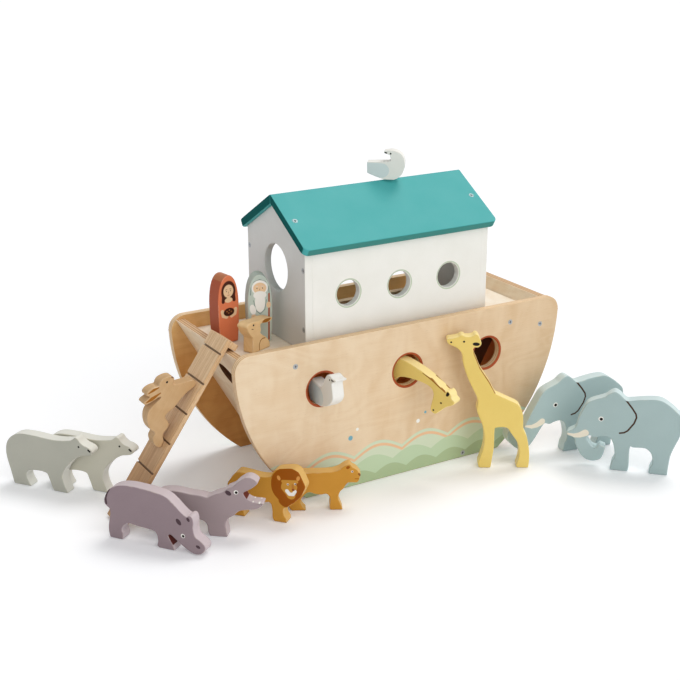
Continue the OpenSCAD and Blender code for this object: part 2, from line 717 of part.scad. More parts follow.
module dove_in_porthole() {
    color("white") stand_centred(perch_place, animal_t) cut_out([
        [4, 0, 1], [24, 0, 1], [33, 3], [38, 6], [44, 11], [47.2, 16.5], [46.7, 21], [45.8, 26], [45, 30],
        [46.5, 32], [51, 34.3], [52, 36], [47.5, 36.3], [45, 36.8], [41, 38], [37, 37.3], [33.5, 33.7],
        [30.5, 27.5], [27, 23], [24, 20.8], [17, 21.5], [8, 22.3], [2, 21.5], [0, 8]], percher_h);
}

// People are round-topped boards that narrow a little to the foot
module person_outline() {
    half = person_w / 2;
    right = [[0.84 * half, 0, 1], [0.96 * half, 0.25 * person_h], [half, 0.5 * person_h],
        [0.96 * half, 0.7 * person_h], [0.76 * half, 0.87 * person_h], [0.42 * half, 0.97 * person_h]];
    left = [for (k = [len(right) - 1 : -1 : 1]) [-right[k].x, right[k].y]];
    polygon(outline(concat(right, [[0, person_h]], left, [[-right[0].x, 0, 1]])));
}

module man_figure() {
    color("darkseagreen") stand_centred(man_place, person_t) person_outline();
}

module woman_figure() {
    color("sienna") stand_centred(woman_place, person_t) person_outline();
}

hull_side_port();
hull_side_starboard();
bow_board();
stern_board();
hull_floor();
deck();
hull_screws_port();
hull_screws_starboard();
cabin_side_port();
cabin_side_starboard();
cabin_gable_bow();
cabin_gable_stern();
locating_strip_port();
locating_strip_starboard();
roof_panel_port();
roof_panel_starboard();
gable_screws_bow();
gable_screws_stern();
roof_screws_port();
roof_screws_starboard();
ramp_board();
ramp_hook();
polar_bear_left();
polar_bear_right();
hippo_grazing();
hippo_yawning();
lion();
lioness();
giraffe_standing();
giraffe_reaching();
elephant_left();
elephant_right();
rabbit_climbing();
rabbit_sitting();
dove_on_roof();
dove_in_porthole();
man_figure();
woman_figure();
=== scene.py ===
import json
import math

import bpy
from mathutils import Matrix, Vector

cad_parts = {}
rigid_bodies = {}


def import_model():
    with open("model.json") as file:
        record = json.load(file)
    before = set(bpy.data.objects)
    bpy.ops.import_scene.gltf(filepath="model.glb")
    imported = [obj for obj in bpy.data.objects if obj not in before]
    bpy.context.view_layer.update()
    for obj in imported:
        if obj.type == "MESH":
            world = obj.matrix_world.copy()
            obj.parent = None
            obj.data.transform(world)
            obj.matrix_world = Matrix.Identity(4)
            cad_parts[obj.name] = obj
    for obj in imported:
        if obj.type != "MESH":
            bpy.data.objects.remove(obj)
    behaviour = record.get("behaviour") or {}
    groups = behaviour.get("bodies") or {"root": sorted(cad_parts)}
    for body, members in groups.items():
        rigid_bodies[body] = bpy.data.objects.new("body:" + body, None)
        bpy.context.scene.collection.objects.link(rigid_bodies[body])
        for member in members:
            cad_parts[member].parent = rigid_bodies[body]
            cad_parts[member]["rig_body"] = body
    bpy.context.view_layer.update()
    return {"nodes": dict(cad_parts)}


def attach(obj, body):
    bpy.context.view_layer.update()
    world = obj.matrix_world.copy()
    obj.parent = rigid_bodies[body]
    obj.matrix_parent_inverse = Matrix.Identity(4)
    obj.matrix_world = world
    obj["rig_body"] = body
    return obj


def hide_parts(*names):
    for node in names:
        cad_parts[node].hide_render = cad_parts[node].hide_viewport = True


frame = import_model()

# Hull sides: two tall panels of 8 mm birch plywood with round ends and three portholes each.
# Their edges are sanded soft and show the plies, the rims of the portholes are painted terracotta,
# and rows of round waves are printed along the foot of the outer faces.
HULL_FACE = 77  # millimetres from the middle of the ark to the outer faces of the sides
HULL_PLY = 8
DECK_TOP, DECK_UNDER = 147, 139
BOARD_FOOT = 99  # outer faces of the end boards at the foot, from the middle
BOARD_LEAN = 0.56918  # how far they lean out for each step up
PORTHOLE_PITCH, PORTHOLE_UP = 100, 114
PORTHOLE_RIM = 19  # how far the painted rim reaches from the centre


def soften(node, radius):
    """The board of a CAD node with its sharp edges sanded round."""
    bpy.ops.object.select_all(action="DESELECT")
    board = bpy.data.objects.new(node + "_sanded", frame["nodes"][node].data.copy())
    bpy.context.scene.collection.objects.link(board)
    board.select_set(True)
    bpy.context.view_layer.objects.active = board
    bpy.ops.object.mode_set(mode="EDIT")
    bpy.ops.mesh.select_all(action="SELECT")
    bpy.ops.mesh.remove_doubles(threshold=0.00001)
    bpy.ops.mesh.dissolve_limited(angle_limit=math.radians(1))
    bpy.ops.object.mode_set(mode="OBJECT")
    sanding = board.modifiers.new("sanding", "BEVEL")
    sanding.width = radius
    sanding.segments = 3
    sanding.limit_method = "ANGLE"
    sanding.angle_limit = math.radians(50)
    sanding.use_clamp_overlap = False
    bpy.ops.object.modifier_apply(modifier=sanding.name)
    bpy.ops.object.shade_smooth_by_angle(angle=math.radians(35))
    shading = board.modifiers.new("even_shading", "WEIGHTED_NORMAL")
    shading.keep_sharp = True
    bpy.ops.object.modifier_apply(modifier=shading.name)
    board.data.materials.clear()
    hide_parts(node)
    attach(board, frame["nodes"][node]["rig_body"])
    return board


def rgb(*values):
    return tuple(v / 255 / 12.92 if v < 11 else ((v / 255 + 0.055) / 1.055) ** 2.4 for v in values) + (1,)


def put(tree, kind, *inputs, **settings):
    """Adds a node: a socket is linked to its input, None leaves an input as it is."""
    added = tree.nodes.new("ShaderNode" + kind)
    for key, value in settings.items():
        setattr(added, key, value)
    for socket, value in zip(added.inputs, inputs):
        if isinstance(value, bpy.types.NodeSocket):
            tree.links.new(value, socket)
        elif value is not None:
            socket.default_value = value
    return added.outputs


def calc(tree, operation, *inputs):
    return put(tree, "Math", *inputs, operation=operation)[0]


def distance(tree, value, centre=0):
    """How far a value is from a centre, on either side of it."""
    return calc(tree, "ABSOLUTE", calc(tree, "SUBTRACT", value, centre) if centre else value)


def both(tree, first, *others):
    """1 where all the masks are 1."""
    for mask in others:
        first = calc(tree, "MULTIPLY", first, mask)
    return first


def either(tree, first, *others):
    """1 where one of the masks is 1."""
    for mask in others:
        first = calc(tree, "MAXIMUM", first, mask)
    return first


def stretched(tree, vector, *factors):
    return put(tree, "VectorMath", vector, factors, operation="MULTIPLY")[0]


def in_mm(tree, vector):
    return stretched(tree, vector, 1000, 1000, 1000)


def from_centre(tree, across, up):
    """Distance from the zero point of a drawing plane."""
    return put(tree, "VectorMath", put(tree, "CombineXYZ", across, up, 0)[0], operation="LENGTH")[1]


def noise(tree, vector, scale, detail, roughness=0.5, distortion=0):
    return put(tree, "TexNoise", vector, None, scale, detail, roughness, None, None, None, distortion)[0]


def ease(tree, value, low, high):
    """0 below low, 1 above high; the other way round where low is the larger."""
    first, last = (0, 1) if low < high else (1, 0)
    return put(tree, "MapRange", value, min(low, high), max(low, high), first, last,
               interpolation_type="SMOOTHSTEP")[0]


def over(tree, mask, under, colour):
    """A coat of colour over another, where the mask is 1."""
    coat = tree.nodes.new("ShaderNodeMix")
    coat.data_type = "RGBA"
    for socket, value in zip((coat.inputs[0], coat.inputs[6], coat.inputs[7]), (mask, under, colour)):
        if isinstance(value, bpy.types.NodeSocket):
            tree.links.new(value, socket)
        else:
            socket.default_value = value
    return coat.outputs[2]


def effect(name, takes, gives):
    tree = bpy.data.node_groups.new(name, "ShaderNodeTree")
    for label, kind in takes.items():
        tree.interface.new_socket(label, in_out="INPUT", socket_type="NodeSocket" + kind)
    for label, kind in gives.items():
        tree.interface.new_socket(label, in_out="OUTPUT", socket_type="NodeSocket" + kind)
    return tree, tree.nodes.new("NodeGroupInput").outputs, tree.nodes.new("NodeGroupOutput").inputs


def use(tree, group, **inputs):
    placed = tree.nodes.new("ShaderNodeGroup")
    placed.node_tree = group
    for label, value in inputs.items():
        if isinstance(value, bpy.types.NodeSocket):
            tree.links.new(value, placed.inputs[label])
        else:
            placed.inputs[label].default_value = value
    return placed.outputs


def new_finish(name, coat=0.0, shine=0.5):
    finish = bpy.data.materials.new(name)
    finish.use_nodes = True
    shader = finish.node_tree.nodes["Principled BSDF"].inputs
    shader["Coat Weight"].default_value = coat
    shader["Coat Roughness"].default_value = 0.3
    shader["Specular IOR Level"].default_value = shine
    return finish, finish.node_tree, shader


def relief(tree, shader, height, depth):
    bump = tree.nodes.new("ShaderNodeBump")
    bump.inputs["Distance"].default_value = depth
    tree.links.new(height, bump.inputs["Height"])
    tree.links.new(bump.outputs["Normal"], shader["Normal"])


def sanded_wood(tree, shader, colour, fibres, height, matt):
    """Bare or printed wood: the raised fibres are a little less glossy than the rest."""
    tree.links.new(colour, shader["Base Color"])
    tree.links.new(calc(tree, "MULTIPLY_ADD", fibres, 0.12, matt), shader["Roughness"])
    relief(tree, shader, height, 0.00006)


# Peeled birch veneer, grain along x: wide soft contours, fine fibres, short dark flecks
birch_grain, take, give = effect("birch_grain", {"Vector": "Vector", "Pale": "Color", "Dark": "Color"},
                                 {"Color": "Color", "Height": "Float"})
mm = in_mm(birch_grain, take["Vector"])
swell = noise(birch_grain, stretched(birch_grain, mm, 0.009, 0.02, 0.02), 1, 2, 0.45, 0.6)
contours = calc(birch_grain, "PINGPONG", calc(birch_grain, "MULTIPLY", swell, 9), 0.5)
fibres = noise(birch_grain, stretched(birch_grain, mm, 0.05, 1.5, 1.5), 1, 4, 0.65)
flame = noise(birch_grain, stretched(birch_grain, mm, 0.05, 0.018, 0.018), 1, 2, 0.5, 0.8)
flecks = ease(birch_grain, noise(birch_grain, stretched(birch_grain, mm, 0.2, 2.4, 2.4), 1, 1), 0.68, 0.76)
tone = calc(birch_grain, "MULTIPLY_ADD", contours, 0.22,
            calc(birch_grain, "MULTIPLY_ADD", fibres, 0.28, calc(birch_grain, "MULTIPLY", flame, 0.5)))
wood = over(birch_grain, ease(birch_grain, tone, 0.25, 0.7), take["Pale"], take["Dark"])
darker = over(birch_grain, 0.3, take["Dark"], (0.12, 0.05, 0.02, 1))
birch_grain.links.new(over(birch_grain, calc(birch_grain, "MULTIPLY", flecks, 0.4), wood, darker), give["Color"])
birch_grain.links.new(calc(birch_grain, "SUBTRACT", fibres, flecks), give["Height"])

# A sawn plywood edge: layers through the board's thickness, alternately along and across the grain
ply_edge, take, give = effect("ply_edge", {"Vector": "Vector", "Depth": "Float"},
                              {"Layer": "Float", "Height": "Float"})
mm = in_mm(ply_edge, take["Vector"])
wobble = noise(ply_edge, mm, 0.12, 2)
pores = noise(ply_edge, mm, 2.2, 2, 0.6)
waved = calc(ply_edge, "MULTIPLY_ADD", wobble, 0.5, take["Depth"])
layer = ease(ply_edge, calc(ply_edge, "PINGPONG", waved, 1.35), 0.5, 0.85)
ply_edge.links.new(calc(ply_edge, "MULTIPLY_ADD", pores, 0.5, calc(ply_edge, "MULTIPLY", layer, 0.6)),
                   give["Layer"])
ply_edge.links.new(calc(ply_edge, "MULTIPLY_ADD", layer, 0.4, pores), give["Height"])

# A round or oval mark in a drawing plane, in millimetres
painted_spot, take, give = effect("painted_spot", {"Vector": "Vector", "Centre": "Vector", "Size": "Vector",
                                                   "Turn": "Float"}, {"Mask": "Float"})
offset = put(painted_spot, "VectorMath", take["Vector"], take["Centre"], operation="SUBTRACT")[0]
turned = put(painted_spot, "VectorRotate", stretched(painted_spot, offset, 1, 1, 0), None, None,
             calc(painted_spot, "MULTIPLY", take["Turn"], -1), rotation_type="Z_AXIS")[0]
scaled = put(painted_spot, "VectorMath", turned, take["Size"], operation="DIVIDE")[0]
reach = put(painted_spot, "VectorMath", scaled, operation="LENGTH")[1]
painted_spot.links.new(ease(painted_spot, reach, 1.06, 0.94), give["Mask"])

hull_birch, tree, shader = new_finish("hull_birch", coat=0.03, shine=0.15)
place = put(tree, "TexCoord")["Object"]
x, y, z = put(tree, "SeparateXYZ", in_mm(tree, place))
depth = calc(tree, "SUBTRACT", HULL_FACE, distance(tree, y))
outer_face = ease(tree, depth, 0.35, 0.15)
inner_face = ease(tree, depth, HULL_PLY - 0.4, HULL_PLY - 0.2)
# The outer veneer is a little warmer towards the stern
astern = ease(tree, x, -150, 200)
grain = use(tree, birch_grain, Vector=place, Pale=over(tree, astern, rgb(232, 211, 181), rgb(226, 200, 166)),
            Dark=over(tree, astern, rgb(222, 194, 158), rgb(213, 181, 141)))
# The inner face is bare veneer, painted warmer and darker further down and warmest in the hold between the end
# boards: painted shade for the dim, warm light inside the hull
height_up = ease(tree, z, 100, 165)
board_inside = calc(tree, "MULTIPLY_ADD", z, BOARD_LEAN, BOARD_FOOT - 7)
in_hold = both(tree, ease(tree, z, DECK_TOP, DECK_UNDER),
               ease(tree, calc(tree, "SUBTRACT", board_inside, distance(tree, x)), 0, 2))
inner_pale = over(tree, height_up, rgb(218, 163, 99), rgb(230, 190, 134))
inner_dark = over(tree, height_up, rgb(198, 139, 77), rgb(214, 168, 106))
inner_grain = use(tree, birch_grain, Vector=place, Pale=over(tree, in_hold, inner_pale, rgb(250, 166, 88)),
                  Dark=over(tree, in_hold, inner_dark, rgb(238, 148, 72)))
plies = use(tree, ply_edge, Vector=place, Depth=depth)
edge = over(tree, plies["Layer"], rgb(248, 226, 190), rgb(206, 164, 118))
colour = over(tree, inner_face, grain["Color"], inner_grain["Color"])
colour = over(tree, either(tree, outer_face, inner_face), edge, colour)
# Wave rows: pitch, shift, height of the hollows, rise of the crests, paint, and the stripe under the crests
for pitch, shift, low, rise, paint, stripe in (
        (58, 0.3, 33, 11, rgb(206, 217, 191), rgb(232, 190, 150)),
        (48, 1.1, 20, 9, rgb(188, 208, 174), None),
        (38, 0.0, 8, 7, rgb(170, 188, 148), None)):
    swing = calc(tree, "SINE", calc(tree, "MULTIPLY_ADD", x, math.pi / pitch, shift))
    above = calc(tree, "SUBTRACT", z, calc(tree, "MULTIPLY_ADD", distance(tree, swing), rise, low))
    colour = over(tree, both(tree, ease(tree, above, 0.2, -0.2), outer_face), colour, paint)
    if stripe:
        colour = over(tree, both(tree, ease(tree, distance(tree, above, -5), 1.7, 1.4), outer_face), colour, stripe)
# Bubbles: place along the hull and up it, half the size, paint
BUBBLE_BLUE, BUBBLE_WHITE = rgb(120, 174, 192), rgb(240, 240, 236)
side_plane = put(tree, "CombineXYZ", x, z, 0)[0]
for along_hull, up, half, paint in (
        (-68, 54, 2.6, BUBBLE_BLUE), (-60, 62, 1.7, BUBBLE_WHITE), (14, 55, 2.2, BUBBLE_WHITE),
        (23, 63, 1.5, BUBBLE_BLUE), (118, 58, 2.4, BUBBLE_BLUE), (109, 66, 1.6, BUBBLE_WHITE)):
    bubble = use(tree, painted_spot, Vector=side_plane, Centre=(along_hull, up, 0), Size=(half, half, 1), Turn=0)
    colour = over(tree, both(tree, bubble["Mask"], outer_face), colour, paint)
# The painted rims of the three portholes
TERRACOTTA = rgb(164, 76, 40)
from_porthole = from_centre(tree, calc(tree, "WRAP", x, PORTHOLE_PITCH / 2, -PORTHOLE_PITCH / 2),
                            calc(tree, "SUBTRACT", z, PORTHOLE_UP))
rim = both(tree, ease(tree, from_porthole, PORTHOLE_RIM + 0.15, PORTHOLE_RIM - 0.05), ease(tree, depth, 1.1, 0.9),
           ease(tree, distance(tree, x), 1.5 * PORTHOLE_PITCH + 1, 1.5 * PORTHOLE_PITCH))
colour = over(tree, rim, colour, TERRACOTTA)
sanded_wood(tree, shader, colour, grain["Height"], calc(tree, "ADD", grain["Height"], plies["Height"]), 0.42)
for node in ("hull_side_port", "hull_side_starboard"):
    soften(node, 0.0009).data.materials.append(hull_birch)

# End boards: slanted birch plywood between the sides, screwed through them, with one porthole each.
# The faces are left bare and the grain runs across the hull. The portholes' walls are painted dark brown: painted
# shade inside the holes.
BOARD_SQUARE = 0.8691  # share of a level distance that is square to the board
HOLD_SHADE_PALE, HOLD_SHADE_DARK = rgb(238, 150, 78), rgb(222, 130, 60)
PLY_PALE, PLY_DARK = rgb(228, 198, 156), rgb(176, 128, 84)
board_birch, tree, shader = new_finish("end_board_birch", coat=0.03, shine=0.15)
place = put(tree, "TexCoord")["Object"]
across = put(tree, "Mapping", place, None, (0, 0, math.pi / 2))[0]
x, y, z = put(tree, "SeparateXYZ", in_mm(tree, place))
level_off = calc(tree, "SUBTRACT", calc(tree, "MULTIPLY_ADD", z, BOARD_LEAN, BOARD_FOOT), distance(tree, x))
depth = calc(tree, "MULTIPLY", level_off, BOARD_SQUARE)
inner_face = ease(tree, depth, HULL_PLY - 0.5, HULL_PLY - 0.3)
# In the hold the veneer is painted a warm orange, like that of the sides: painted shade for the dim, warm light in
# the hold
in_hold = both(tree, inner_face, ease(tree, z, DECK_UNDER + 2, DECK_UNDER - 1))
grain = use(tree, birch_grain, Vector=across, Pale=over(tree, in_hold, rgb(246, 228, 200), HOLD_SHADE_PALE),
            Dark=over(tree, in_hold, rgb(230, 202, 164), HOLD_SHADE_DARK))
plies = use(tree, ply_edge, Vector=place, Depth=depth)
edge = over(tree, plies["Layer"], PLY_PALE, PLY_DARK)
colour = over(tree, either(tree, ease(tree, depth, 0.75, 0.55), inner_face), edge, grain["Color"])
# The walls of the portholes, painted dark brown: painted shade inside the holes
porthole_wall_shade = both(tree, ease(tree, depth, 0.75, 1.05), ease(tree, distance(tree, y), 24, 22),
            ease(tree, z, 50, 60), ease(tree, z, 150, 140))
colour = over(tree, calc(tree, "MULTIPLY", porthole_wall_shade, 0.9), colour, rgb(78, 38, 16))
sanded_wood(tree, shader, colour, grain["Height"], calc(tree, "ADD", grain["Height"], plies["Height"]), 0.45)
for node in ("bow_board", "stern_board"):
    soften(node, 0.0009).data.materials.append(board_birch)

# Deck and hull floor: birch plywood let in between the sides and the end boards, screwed through the sides.
# The deck has the hatch that the cabin drops into, and the thicker floor closes the hold below.
FLOOR_PLY = 10
deck_birch, tree, shader = new_finish("deck_birch", coat=0.03, shine=0.15)
place = put(tree, "TexCoord")["Object"]
z = put(tree, "SeparateXYZ", in_mm(tree, place))[2]
depth = calc(tree, "MINIMUM", distance(tree, z, DECK_TOP), distance(tree, z))
face = either(tree, *(ease(tree, distance(tree, depth, level), 0.45, 0.25) for level in (0, HULL_PLY, FLOOR_PLY)))
# In the hold, under the deck and on the floor, the veneer is painted a warm orange: painted shade for the dim, warm
# light there
in_hold = both(tree, ease(tree, z, DECK_UNDER + 2, DECK_UNDER + 0.5), ease(tree, z, 5, 6))
grain = use(tree, birch_grain, Vector=place, Pale=over(tree, in_hold, rgb(248, 238, 222), HOLD_SHADE_PALE),
            Dark=over(tree, in_hold, rgb(238, 221, 197), HOLD_SHADE_DARK))
plies = use(tree, ply_edge, Vector=place, Depth=depth)
edge = over(tree, plies["Layer"], PLY_PALE, PLY_DARK)
sanded_wood(tree, shader, over(tree, face, edge, grain["Color"]), grain["Height"],
            calc(tree, "ADD", grain["Height"], plies["Height"]), 0.45)
for node in ("deck", "hull_floor"):
    soften(node, 0.0004).data.materials.append(deck_birch)

# Screws: zinc-plated steel with countersunk cross heads, driven flush into the hull sides,
# the gables and the roof. The cross recesses are painted near black, painted shade in the recesses, and the roof's
# screws are duller.
GABLE_FACE = 109  # outer faces of the gables, from the middle
RIDGE_UP = 295.08
ROOF_FALL = 0.5914  # how far the roof falls for each step outwards
ROOF_COS, ROOF_SIN = 0.8607, 0.509
HULL_TOP = 163
ROOF_SCREWS_UP = 255
screw_zinc, tree, shader = new_finish("screw_zinc")
mm = in_mm(tree, put(tree, "TexCoord")["Object"])
x, y, z = put(tree, "SeparateXYZ", mm)
turning = noise(tree, mm, 3, 3, 0.6)
stain = ease(tree, noise(tree, mm, 0.6, 2), 0.35, 0.65)
in_hull = ease(tree, z, HULL_TOP, HULL_TOP - 1)
in_roof = ease(tree, z, ROOF_SCREWS_UP, ROOF_SCREWS_UP + 3)
# How far a point is below the face that the screw is sunk in
below_side = calc(tree, "SUBTRACT", HULL_FACE, distance(tree, y))
below_gable = calc(tree, "SUBTRACT", GABLE_FACE, distance(tree, x))
roof_up = calc(tree, "MULTIPLY_ADD", distance(tree, y), -ROOF_FALL, RIDGE_UP)
below_roof = calc(tree, "MULTIPLY", calc(tree, "SUBTRACT", roof_up, z), ROOF_COS)
below = over(tree, in_hull, over(tree, in_roof, below_gable, below_roof), below_side)
colour = over(tree, stain, rgb(186, 190, 193), rgb(164, 168, 172))
colour = over(tree, in_roof, colour, rgb(112, 132, 134))
# The cross recesses are painted near black: painted shade in the recesses
colour = over(tree, ease(tree, below, 0.25, 0.5), colour, rgb(58, 54, 52))
tree.links.new(colour, shader["Base Color"])
tree.links.new(calc(tree, "MULTIPLY_ADD", turning, 0.25, 0.25), shader["Roughness"])
shader["Metallic"].default_value = 0.5
relief(tree, shader, turning, 0.00004)
for node in ("hull_screws_port", "hull_screws_starboard", "gable_screws_bow", "gable_screws_stern",
             "roof_screws_port", "roof_screws_starboard"):
    frame["nodes"][node].material_slots[0].material = screw_zinc

# Cabin walls: birch plywood under white paint; the gables cover the ends of the side walls and are screwed on.
# Each side window has a thin sage ring on its rim, and the starboard side is an open frame.
CABIN_FACE = 60  # outer faces of the side walls, from the middle
WALL_PLY = 8
WINDOW_PITCH, WINDOW_UP = 60, 201.3
RING_INSIDE, RING_OUTSIDE = 13.6, 15

# Paint from a small roller: an even coat with a fine orange peel and slight changes of tone and gloss
rolled_paint, take, give = effect("rolled_paint", {"Vector": "Vector", "Paint": "Color", "Tint": "Color"},
                                  {"Color": "Color", "Roughness": "Float", "Height": "Float"})
mm = in_mm(rolled_paint, take["Vector"])
clouds = noise(rolled_paint, mm, 0.035, 3, 0.55)
peel = noise(rolled_paint, mm, 0.9, 3, 0.6)
nap = noise(rolled_paint, stretched(rolled_paint, mm, 0.5, 0.5, 2.2), 1, 3, 0.6)
tinted = calc(rolled_paint, "MULTIPLY_ADD", ease(rolled_paint, clouds, 0.2, 0.8), 0.6,
              calc(rolled_paint, "MULTIPLY", ease(rolled_paint, nap, 0.45, 0.75), 0.3))
matt = calc(rolled_paint, "MULTIPLY_ADD", clouds, 0.2, calc(rolled_paint, "MULTIPLY_ADD", peel, 0.1, 0.33))
rolled_paint.links.new(over(rolled_paint, tinted, take["Paint"], take["Tint"]), give["Color"])
rolled_paint.links.new(matt, give["Roughness"])
rolled_paint.links.new(calc(rolled_paint, "MULTIPLY_ADD", nap, 0.6, peel), give["Height"])

cabin_white, tree, shader = new_finish("cabin_white", coat=0.1)
place = put(tree, "TexCoord")["Object"]
x, y, z = put(tree, "SeparateXYZ", in_mm(tree, place))
# The faces of the gables are painted a slightly greyer white than their edges and the sides: painted shade on the
# gable faces
gable_back = GABLE_FACE - WALL_PLY
on_gable = both(tree, ease(tree, distance(tree, x), gable_back - 0.2, gable_back + 0.2),
                ease(tree, distance(tree, y), CABIN_FACE - 0.4, CABIN_FACE - 0.8))
coat = use(tree, rolled_paint, Vector=place, Paint=over(tree, on_gable, rgb(236, 235, 229), rgb(215, 215, 212)),
           Tint=over(tree, on_gable, rgb(228, 227, 219), rgb(207, 207, 203)))
from_window = from_centre(tree, calc(tree, "WRAP", x, WINDOW_PITCH / 2, -WINDOW_PITCH / 2),
                          calc(tree, "SUBTRACT", z, WINDOW_UP))
ring = both(tree, ease(tree, from_window, RING_OUTSIDE + 0.1, RING_OUTSIDE - 0.1),
            ease(tree, from_window, RING_INSIDE - 0.1, RING_INSIDE + 0.1),
            ease(tree, y, 2.8 - CABIN_FACE, 2.4 - CABIN_FACE),
            ease(tree, distance(tree, x), 1.5 * WINDOW_PITCH, 1.5 * WINDOW_PITCH - 1))
tree.links.new(over(tree, ring, coat["Color"], rgb(182, 194, 170)), shader["Base Color"])
tree.links.new(coat["Roughness"], shader["Roughness"])
relief(tree, shader, coat["Height"], 0.00005)
for node in ("cabin_side_port", "cabin_side_starboard", "cabin_gable_bow", "cabin_gable_stern"):
    soften(node, 0.0007).data.materials.append(cabin_white)

# Locating strips: two battens of bare solid birch, glued along the inside of the cabin's side walls.
# They drop into the deck's hatch and keep the cabin in its place.
strip_birch, tree, shader = new_finish("strip_birch")
place = put(tree, "TexCoord")["Object"]
grain = use(tree, birch_grain, Vector=place, Pale=rgb(224, 198, 158), Dark=rgb(202, 168, 122))
sanded_wood(tree, shader, grain["Color"], grain["Height"], grain["Height"], 0.5)
for node in ("locating_strip_port", "locating_strip_starboard"):
    soften(node, 0.0006).data.materials.append(strip_birch)

# Roof: two plywood panels under teal satin paint, mitred at the ridge and screwed to the gables.
# The sawn ends and the eave edges are painted a darker teal than the faces: painted shade on these edges.
EAVE_DOWN = 81.3  # down the slope from the ridge
ROOF_END = 114  # from the middle
roof_teal, tree, shader = new_finish("roof_teal", coat=0.03, shine=0.1)
place = put(tree, "TexCoord")["Object"]
x, y, z = put(tree, "SeparateXYZ", in_mm(tree, place))
coat = use(tree, rolled_paint, Vector=place, Paint=rgb(77, 171, 171), Tint=rgb(72, 167, 167))
slope_down = calc(tree, "MULTIPLY_ADD", distance(tree, y), ROOF_COS,
                  calc(tree, "MULTIPLY", calc(tree, "SUBTRACT", RIDGE_UP, z), ROOF_SIN))
# The eave edges and the sawn ends are painted a darker teal: painted shade on the edges
eave = ease(tree, slope_down, EAVE_DOWN - 0.9, EAVE_DOWN - 0.2)
sawn_end = ease(tree, distance(tree, x), ROOF_END - 0.8, ROOF_END - 0.1)
colour = over(tree, eave, coat["Color"], rgb(60, 132, 126))
tree.links.new(over(tree, sawn_end, colour, rgb(4, 88, 86)), shader["Base Color"])
tree.links.new(calc(tree, "MULTIPLY_ADD", sawn_end, 0.5, coat["Roughness"]), shader["Roughness"])
relief(tree, shader, coat["Height"], 0.00006)
for node in ("roof_panel_port", "roof_panel_starboard"):
    soften(node, 0.0012).data.materials.append(roof_teal)

# Ramp: a plain sawn board with cuts across it for a foothold, and a hook strip glued under its top end.
# It is a darker solid wood with fine straight grain along its length, painted darker still towards the foot:
# painted shade near the floor.
RAMP_TOP = (-0.1895, -0.029, 0.159)  # the drawing plane's zero point, near the top end
RAMP_SLOPE = 55
CUT_FIRST, CUT_PITCH, CUT_WIDTH = -2.55, 32.7, 1.9  # along the ramp, in millimetres
CUT_FLOOR, RAMP_FACE = 3.4, 5  # square to the ramp
ramp_wood, tree, shader = new_finish("ramp_wood")
place = put(tree, "TexCoord")["Object"]
plane = put(tree, "Mapping", place, RAMP_TOP, (0, math.radians(-RAMP_SLOPE), 0), (0.001, 0.001, 0.001),
            vector_type="TEXTURE")[0]
axes = put(tree, "SeparateXYZ", plane)
up_ramp, off_ramp = axes["X"], axes["Z"]
bands = noise(tree, stretched(tree, plane, 0.006, 0.35, 0.35), 1, 4, 0.6, 0.4)
fibres = noise(tree, stretched(tree, plane, 0.03, 2.2, 2.2), 1, 4, 0.7)
pores = ease(tree, noise(tree, stretched(tree, plane, 0.12, 3.2, 3.2), 1, 1), 0.62, 0.72)
tone = calc(tree, "MULTIPLY_ADD", bands, 0.6, calc(tree, "MULTIPLY", fibres, 0.4))
# Darker towards the foot: painted shade near the floor
foot = ease(tree, up_ramp, -40, -160)
colour = over(tree, ease(tree, tone, 0.36, 0.64), over(tree, foot, rgb(236, 205, 164), rgb(192, 150, 106)),
              over(tree, foot, rgb(208, 169, 124), rgb(164, 120, 78)))
colour = over(tree, calc(tree, "MULTIPLY", pores, 0.5), colour, rgb(140, 100, 66))
# The walls of the saw cuts are painted dark brown: painted shade in the narrow cuts
in_pitch = calc(tree, "WRAP", calc(tree, "SUBTRACT", CUT_FIRST, up_ramp), CUT_PITCH, 0)
in_cut = both(tree, ease(tree, off_ramp, RAMP_FACE + 0.15, RAMP_FACE),
              ease(tree, off_ramp, CUT_FLOOR, CUT_FLOOR + 0.05),
              ease(tree, in_pitch, CUT_WIDTH + 0.05, CUT_WIDTH - 0.05))
colour = over(tree, calc(tree, "MULTIPLY", in_cut, 0.75), colour, rgb(92, 58, 32))
tree.links.new(colour, shader["Base Color"])
tree.links.new(calc(tree, "MULTIPLY_ADD", fibres, 0.15, 0.45), shader["Roughness"])
relief(tree, shader, calc(tree, "SUBTRACT", fibres, pores), 0.00008)
for node in ("ramp_board", "ramp_hook"):
    soften(node, 0.0006).data.materials.append(ramp_wood)

# Polar bears: flat animals sawn from 13 mm board, edges rounded over, rolled off-white.
# Eyes and noses are dabbed on both faces. They stand loose on the floor.
BLACK = rgb(32, 27, 24)
WHITE = rgb(240, 238, 232)
# Paler patches on the rounded edges: wear from handling and painted highlight
RUBBED_AND_LIT = rgb(240, 228, 204)
# The bears' sawn edges are painted paler: painted highlight where they catch the light
BEAR_LIT_EDGE = rgb(222, 222, 214)
# Where the two faces of a figure's board lie, from its heading line
BEHIND_LINE, ON_LINE = (0, -13), (-6.5, 6.5)

